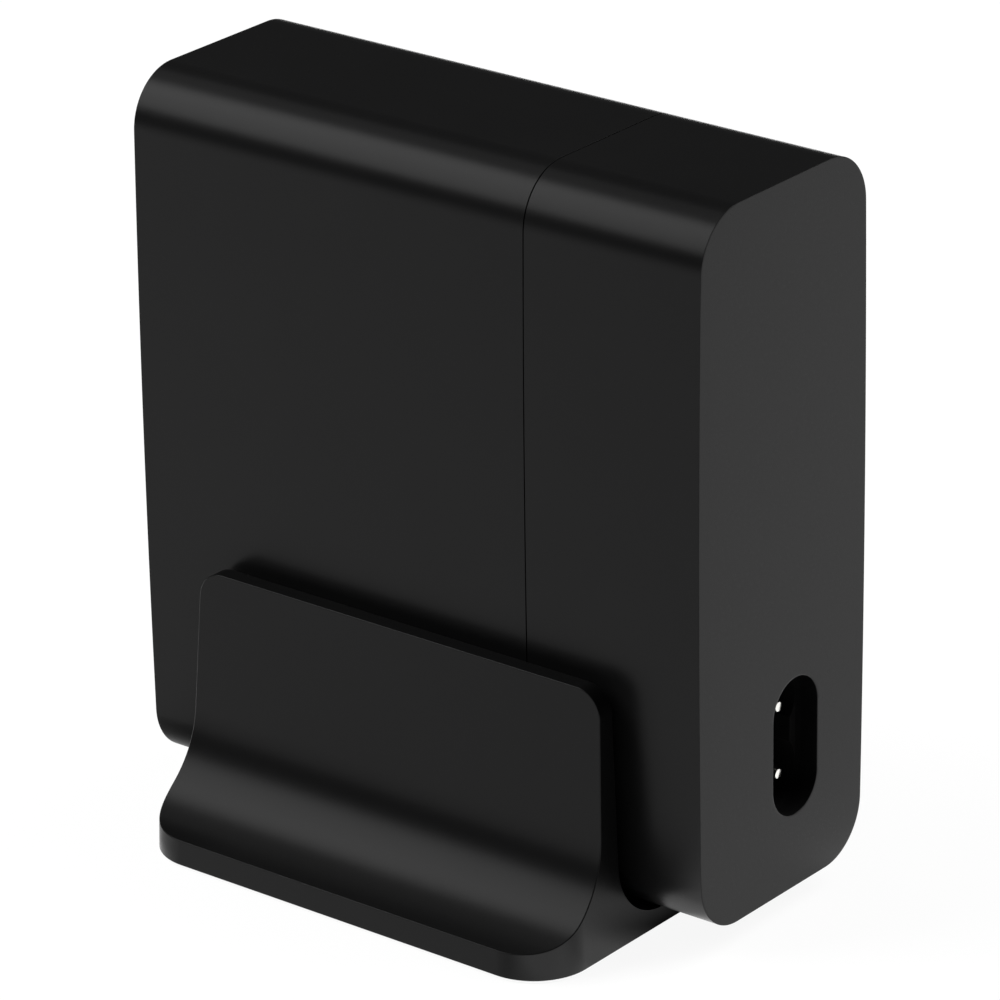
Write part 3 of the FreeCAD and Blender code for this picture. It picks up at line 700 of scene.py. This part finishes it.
def make_inlet_body():
    """Socket behind the opening: a slot, a ledge, and a figure-eight well with holes for the pins."""
    half_y = inlet_body_width / 2
    half_z = opening_height / 2 + inlet_body_border
    ledge_x = inner_x1 - inlet_entry
    outside = rounded_loop(half_y, half_z, half_y, corner_steps, (inlet_y, inlet_z))
    front = across_x(outside, inner_x1)
    back = across_x(outside, inlet_back_x)
    entry = [slot_loop(x, inlet_entry_fit) for x in (inner_x1, ledge_x)]
    eight = [eight_loop(x) for x in (ledge_x, inlet_floor_x)]
    faces = lofted([front, back]) + lofted(entry) + lofted(eight)
    faces += filled([front, entry[0]]) + filled([entry[1], eight[0]])
    holes = []
    for side in (-1, 1):
        z = inlet_z + side * pin_pitch / 2
        hole = [circle(x, z, anchor_radius + pin_fit) for x in (inlet_floor_x, inlet_back_x)]
        faces += lofted(hole)
        holes.append(hole)
    faces += filled([eight[1]] + [hole[0] for hole in holes])
    faces += filled([back] + [hole[1] for hole in holes])
    mesh_piece("inlet_socket", faces, inlet_plastic, ["inlet_body"])


def tail_faces(z):
    """Flat tail of a pin behind the socket, bent once to the main board."""
    half = tail_thickness / 2
    turn_x = inlet_back_x - tail_run
    bend_x = turn_x + tail_thickness
    board_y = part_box("main_board")[0].y / MM
    path = [(inlet_back_x + half, inlet_y - half), (inlet_back_x + half, inlet_y + half)]
    path += [(bend_x, inlet_y + half), (bend_x, board_y), (turn_x, board_y)]
    path += [(turn_x + past, inlet_y - half + before) for before, past in rounding(half)]
    low = [(x, y, z - tail_width / 2) for x, y in path]
    high = [(x, y, z + tail_width / 2) for x, y in path]
    return ring_faces(low, high) + [low, high]


def make_pin(node, side):
    """Contact pin with a tapered tip, its anchor in the socket and its tail."""
    z = inlet_z + side * pin_pitch / 2
    tip_x = inlet_x - pin_recess
    rings = [circle(inlet_back_x, z, anchor_radius), circle(inlet_floor_x, z, anchor_radius)]
    rings += [circle(inlet_floor_x, z, pin_radius), circle(tip_x - pin_tip, z, pin_radius)]
    rings += [circle(tip_x - before, z, pin_flat + pin_edge - past) for before, past in rounding(pin_edge)]
    faces = lofted(rings) + [rings[0], rings[-1]] + tail_faces(z)
    mesh_piece(node + "_tapered", faces, pin_metal, [node])


# Ports
def port_places():
    """Kind, number and height of each port, from the top of the column down."""
    kinds = [("c", number + 1) for number in range(usb_c_count)]
    kinds += [("a", number + 1) for number in range(usb_a_count)]
    top = mid_z + port_pitch * (len(kinds) - 1) / 2
    return [(kind, number, top - port_pitch * index) for index, (kind, number) in enumerate(kinds)]


def port_loop(x, kind, z, grow, corner):
    """Outline of a port, larger all round by grow: a slot, or a box with rounded corners."""
    width, height = usb_c_size if kind == "c" else usb_a_size
    half_u = width / 2 + grow
    half_v = height / 2 + grow
    radius, steps = (half_v, face_steps) if kind == "c" else (corner, 2 * edge_steps)
    return across_x(rounded_loop(half_u, half_v, radius, steps, (0, z)), x)


def mouth_loop(x, kind, z, grow):
    """Opening of the panel round a port."""
    return port_loop(x, kind, z, port_fit + grow, opening_corner + grow)


def plate_loop(x, inset):
    """Outline of the panel."""
    return straight(x, panel_rim + panel_fit + inset)


def make_port_panel():
    """Panel with an opening for each port, all edges of its face a little round."""
    rings = [plate_loop(panel_x0 + depth, inset) for inset, depth in rounding(panel_edge)]
    rings.append(plate_loop(panel_x1, 0))
    fronts = [plate_loop(panel_x0, panel_edge + flat_margin)]
    backs = [rings[-1]]
    faces = lofted(rings) + ring_faces(fronts[0], rings[0])
    for kind, _, z in port_places():
        mouth = [mouth_loop(panel_x0, kind, z, panel_edge + flat_margin)]
        mouth += [mouth_loop(panel_x0 + depth, kind, z, grow) for grow, depth in rounding(panel_edge)]
        mouth.append(mouth_loop(panel_x1, kind, z, 0))
        faces += lofted(mouth)
        fronts.append(mouth[0])
        backs.append(mouth[-1])
    faces += filled(fronts) + filled(backs)
    mesh_piece("port_plate", faces, panel_plastic, ["port_panel"])


def shell_loop(x, kind, z, inset):
    """Outline of a port's steel shell, set in from its outside."""
    return port_loop(x, kind, z, -inset, usb_a_corner - inset)


def make_port_shell(kind, number, z):
    """Drawn steel shell with a rounded lip."""
    lip = shell_sheet / 2
    rings = [shell_loop(port_board_x, kind, z, 0)]
    for k in range(2 * edge_steps + 1):
        angle = math.pi * k / (2 * edge_steps)
        x = mouth_x + lip * (1 - math.sin(angle))
        rings.append(shell_loop(x, kind, z, lip * (1 - math.cos(angle))))
    rings.append(shell_loop(port_board_x, kind, z, shell_sheet))
    node = "usb_%s_shell_%d" % (kind, number)
    mesh_piece(node + "_drawn", lofted(rings, True), shell_metal, [node])


def tongue_faces(half_y, z0, z1, back_x):
    """Tongue with a rounded front edge, as a section drawn out across the port."""
    radius = tongue_edge
    tip_x = mouth_x + tongue_setback
    path = [(back_x, z1), (back_x, z0)]
    for centre_z, start in ((z0 + radius, -math.pi / 2), (z1 - radius, -math.pi)):
        for k in range(edge_steps + 1):
            angle = start - math.pi / 2 * k / edge_steps
            path.append((tip_x + radius + radius * math.cos(angle), centre_z + radius * math.sin(angle)))
    near = [(x, -half_y, z) for x, z in path]
    far = [(x, half_y, z) for x, z in path]
    return ring_faces(near, far) + [near, far]


def insert_shape(kind, z):
    """Front, half width and half height of a port's base; half width, bottom and top of its tongue."""
    width, height = usb_c_size if kind == "c" else usb_a_size
    rise = height / 2 - shell_sheet - insert_fit
    if kind == "c":
        tongue_width, tongue_height = usb_c_tongue
        tongue = (tongue_width / 2, z - tongue_height / 2, z + tongue_height / 2)
        return (port_board_x - usb_c_base, width / 2 - height / 2, rise), tongue
    tongue_width, tongue_height = usb_a_tongue
    tongue_top = z + height / 2 - shell_sheet - usb_a_tongue_gap
    tongue = (tongue_width / 2, tongue_top - tongue_height, tongue_top)
    return (port_board_x - usb_a_base, width / 2 - shell_sheet - insert_fit, rise), tongue


def contact_places(kind):
    """Middle of each contact pad across the port, and its side of the tongue: -1 below, 1 above."""
    if kind == "a":
        return [(y, -1) for y in usb_a_contact_places]
    first = -usb_c_contact_pitch * (usb_c_contacts - 1) / 2
    return [(first + usb_c_contact_pitch * index, side)
            for index in range(usb_c_contacts) for side in (-1, 1)]


def make_port_insert(kind, number, z):
    """Base and tongue of a port, and its contact pads."""
    (base_x, base_half, rise), (tongue_half, tongue_low, tongue_high) = insert_shape(kind, z)
    faces = box_faces((base_x, -base_half, z - rise), (port_board_x, base_half, z + rise))
    faces += tongue_faces(tongue_half, tongue_low, tongue_high, base_x + tongue_root)
    node = "usb_%s_insert_%d" % (kind, number)
    mesh_piece(node + "_moulded", faces, insert_plastic, [node])
    length, width, proud = usb_c_contact if kind == "c" else usb_a_contact
    pad_x = mouth_x + tongue_setback + 2 * tongue_edge
    pads = []
    for y, side in contact_places(kind):
        level = tongue_low if side < 0 else tongue_high
        low, high = sorted((level - side * contact_sink, level + side * proud))
        pads += box_faces((pad_x, y - width / 2, low), (pad_x + length, y + width / 2, high))
    mesh_piece("usb_%s_contacts_%d" % (kind, number), pads, gold_metal)


def finish_solids():
    """Gives every solid that no piece stands for its own finish."""
    for name, node in nodes.items():
        if name in rebuilt:
            continue
        fits = [key for key in solid_finishes if key in name]
        node.data.materials.clear()
        node.data.materials.append(solid_finishes[max(fits, key=len)])


make_main_housing()
make_end_housing()
make_cradle()
make_inlet_body()
make_pin("inlet_pin_lower", -1)
make_pin("inlet_pin_upper", 1)
make_port_panel()
for port in port_places():
    make_port_shell(*port)
    make_port_insert(*port)
finish_solids()


# Camera, from the photograph's view: its place in millimetres, and the axes of its picture
sensor_width = 36
focal_length = 224.489
clip_start = 0.01
clip_end = 20
camera_place = (421.784, -530.502, 329.777)
camera_right = (0.78636, 0.61762, -0.01327)
camera_back = (0.57281, -0.72092, 0.39007)
nudge_right = -0.064
nudge_up = 0.083


def make_camera():
    data = bpy.data.cameras.new("camera")
    camera = bpy.data.objects.new("camera", data)
    bpy.context.scene.collection.objects.link(camera)
    bpy.context.scene.camera = camera
    data.sensor_width = sensor_width
    data.lens = focal_length
    data.clip_start = clip_start
    data.clip_end = clip_end
    back = Vector(camera_back).normalized()
    up = back.cross(Vector(camera_right)).normalized()
    right = up.cross(back)
    turn = Matrix((right, up, back)).transposed().to_4x4()
    place = Vector(camera_place) + right * nudge_right + up * nudge_up
    camera.matrix_world = Matrix.Translation(place * MM) @ turn


# Studio, in metres
floor_half = 4
floor_tone = 0.8
world_tone = 0.07
white_share = 0.92
white_reach = 0.4
floor_fade = 1.1
mirrored_white = 2.95

# Rectangles of painted shade (factor below 1) and painted light (factor above 1) in the floor's mirrored
# glow: middle, half size, fade, and factor
painted_floor_patches = {
    "painted shade under charger": ((0, 0), (0.0315, 0.009), 0.008, 0.03),
    "painted shade under port end": ((-0.041, -0.012), (0.008, 0.010), 0.006, 0.28),
    "painted light beside far foot": ((0.037, 0.032), (0.007, 0.014), 0.006, 1.5),
    "painted light beside near foot": ((0.037, -0.032), (0.007, 0.014), 0.006, 1.5),
    "painted light off near foot's inlet corner": ((0.038, -0.038), (0.007, 0.010), 0.006, 2.2),
    "painted shade off near foot's port corner": ((-0.038, -0.024), (0.006, 0.007), 0.005, 0.45),
}

# Square lamps: place, what each is aimed at, width, and power in watts
lamps = {
    "key": ((-0.46, -0.39, 0.57), (0, 0, 0.06), 0.57, 10.6),
    "upper": ((-0.62, -0.04, 0.92), (0, 0, 0.06), 0.8, 2.4),
    "fill": ((0.5, 0.65, 1.0), (0, 0, 0.05), 0.9, 20),
}


def make_lamp(name, place, aim, width, power):
    data = bpy.data.lights.new(name, "AREA")
    data.shape = "SQUARE"
    data.size = width
    data.energy = power
    lamp = bpy.data.objects.new(name, data)
    bpy.context.scene.collection.objects.link(lamp)
    lamp.location = place
    lamp.rotation_mode = "QUATERNION"
    lamp.rotation_quaternion = (Vector(aim) - Vector(place)).to_track_quat("-Z", "Y")


def maths(tree, operation, first, second=0.0, clamp=False):
    """Output of a math node for two sockets or numbers."""
    node = tree.nodes.new("ShaderNodeMath")
    node.operation = operation
    node.use_clamp = clamp
    for socket, value in zip(node.inputs, (first, second)):
        if isinstance(value, (int, float)):
            socket.default_value = value
        else:
            tree.links.new(value, socket)
    return node.outputs[0]


def fading_white(tree, place):
    """White near the object, and less of it where the floor runs off into the room."""
    reach = tree.nodes.new("ShaderNodeVectorMath")
    reach.operation = "LENGTH"
    fade = tree.nodes.new("ShaderNodeMapRange")
    fade.interpolation_type = "SMOOTHSTEP"
    fade.inputs["From Min"].default_value = white_reach
    fade.inputs["From Max"].default_value = floor_fade
    fade.inputs["To Min"].default_value = white_share
    fade.inputs["To Max"].default_value = 0
    tree.links.new(place.outputs["Object"], reach.inputs[0])
    tree.links.new(reach.outputs["Value"], fade.inputs["Value"])
    return fade.outputs["Result"]


def off_painted_patch(tree, place, middle, half, fade):
    """0 within a rectangle of the floor, 1 further from it than the fade: the mask of a painted patch."""
    parts = tree.nodes.new("ShaderNodeSeparateXYZ")
    tree.links.new(place.outputs["Object"], parts.inputs[0])
    outside = 0.0
    for value, centre, reach in zip(parts.outputs, middle, half):
        distance = maths(tree, "ABSOLUTE", maths(tree, "SUBTRACT", value, centre))
        outside = maths(tree, "MAXIMUM", maths(tree, "SUBTRACT", distance, reach), outside)
    return maths(tree, "DIVIDE", outside, fade, True)


def floor_light_and_painted_patches(tree, place):
    """Light that surfaces mirror: even white, with painted shade under the charger and painted light beside
    its feet.
    """
    level = mirrored_white
    for middle, half, fade, factor in painted_floor_patches.values():
        away = off_painted_patch(tree, place, middle, half, fade)
        # Each patch scales the mirrored white: painted shade where its factor is below 1, painted light
        # where it is above 1
        painted_change = maths(tree, "ADD", maths(tree, "MULTIPLY", away, 1 - factor), factor)
        level = maths(tree, "MULTIPLY", painted_change, level)
    return level


def floor_material():
    """Pale under the lamps, plain white to the camera, and white in reflections, with patches of painted
    shade and painted light there.
    """
    made = bpy.data.materials.new("floor_white")
    made.use_nodes = True
    tree = made.node_tree
    tree.nodes.clear()
    out = tree.nodes.new("ShaderNodeOutputMaterial")
    diffuse = tree.nodes.new("ShaderNodeBsdfDiffuse")
    diffuse.inputs["Color"].default_value = (floor_tone, floor_tone, floor_tone, 1)
    glow = tree.nodes.new("ShaderNodeEmission")
    path = tree.nodes.new("ShaderNodeLightPath")
    place = tree.nodes.new("ShaderNodeTexCoord")
    mirrored = maths(tree, "MAXIMUM", path.outputs["Is Glossy Ray"], path.outputs["Is Transmission Ray"])
    seen = maths(tree, "MAXIMUM", path.outputs["Is Camera Ray"], mirrored)
    share = maths(tree, "MULTIPLY", seen, fading_white(tree, place))
    level = tree.nodes.new("ShaderNodeMix")
    level.data_type = "FLOAT"
    tree.links.new(path.outputs["Is Camera Ray"], level.inputs["Factor"])
    tree.links.new(floor_light_and_painted_patches(tree, place), level.inputs["A"])
    level.inputs["B"].default_value = 1.0
    tree.links.new(level.outputs["Result"], glow.inputs["Strength"])
    both = tree.nodes.new("ShaderNodeMixShader")
    tree.links.new(share, both.inputs["Fac"])
    tree.links.new(diffuse.outputs["BSDF"], both.inputs[1])
    tree.links.new(glow.outputs["Emission"], both.inputs[2])
    tree.links.new(both.outputs["Shader"], out.inputs["Surface"])
    return made


def make_floor():
    mesh = bpy.data.meshes.new("floor")
    corners = [(x * floor_half, y * floor_half, 0) for x, y in ((-1, -1), (1, -1), (1, 1), (-1, 1))]
    mesh.from_pydata(corners, [], [(0, 1, 2, 3)])
    floor = bpy.data.objects.new("floor", mesh)
    bpy.context.scene.collection.objects.link(floor)
    mesh.materials.append(floor_material())


def make_world():
    world = bpy.data.worlds.new("studio")
    bpy.context.scene.world = world
    world.use_nodes = True
    background = world.node_tree.nodes["Background"]
    background.inputs["Color"].default_value = (world_tone, world_tone, world_tone, 1)
    background.inputs["Strength"].default_value = 1.0


make_camera()
make_floor()
make_world()
for lamp_name, lamp_values in lamps.items():
    make_lamp(lamp_name, *lamp_values)
bpy.context.scene.view_settings.view_transform = "Standard"
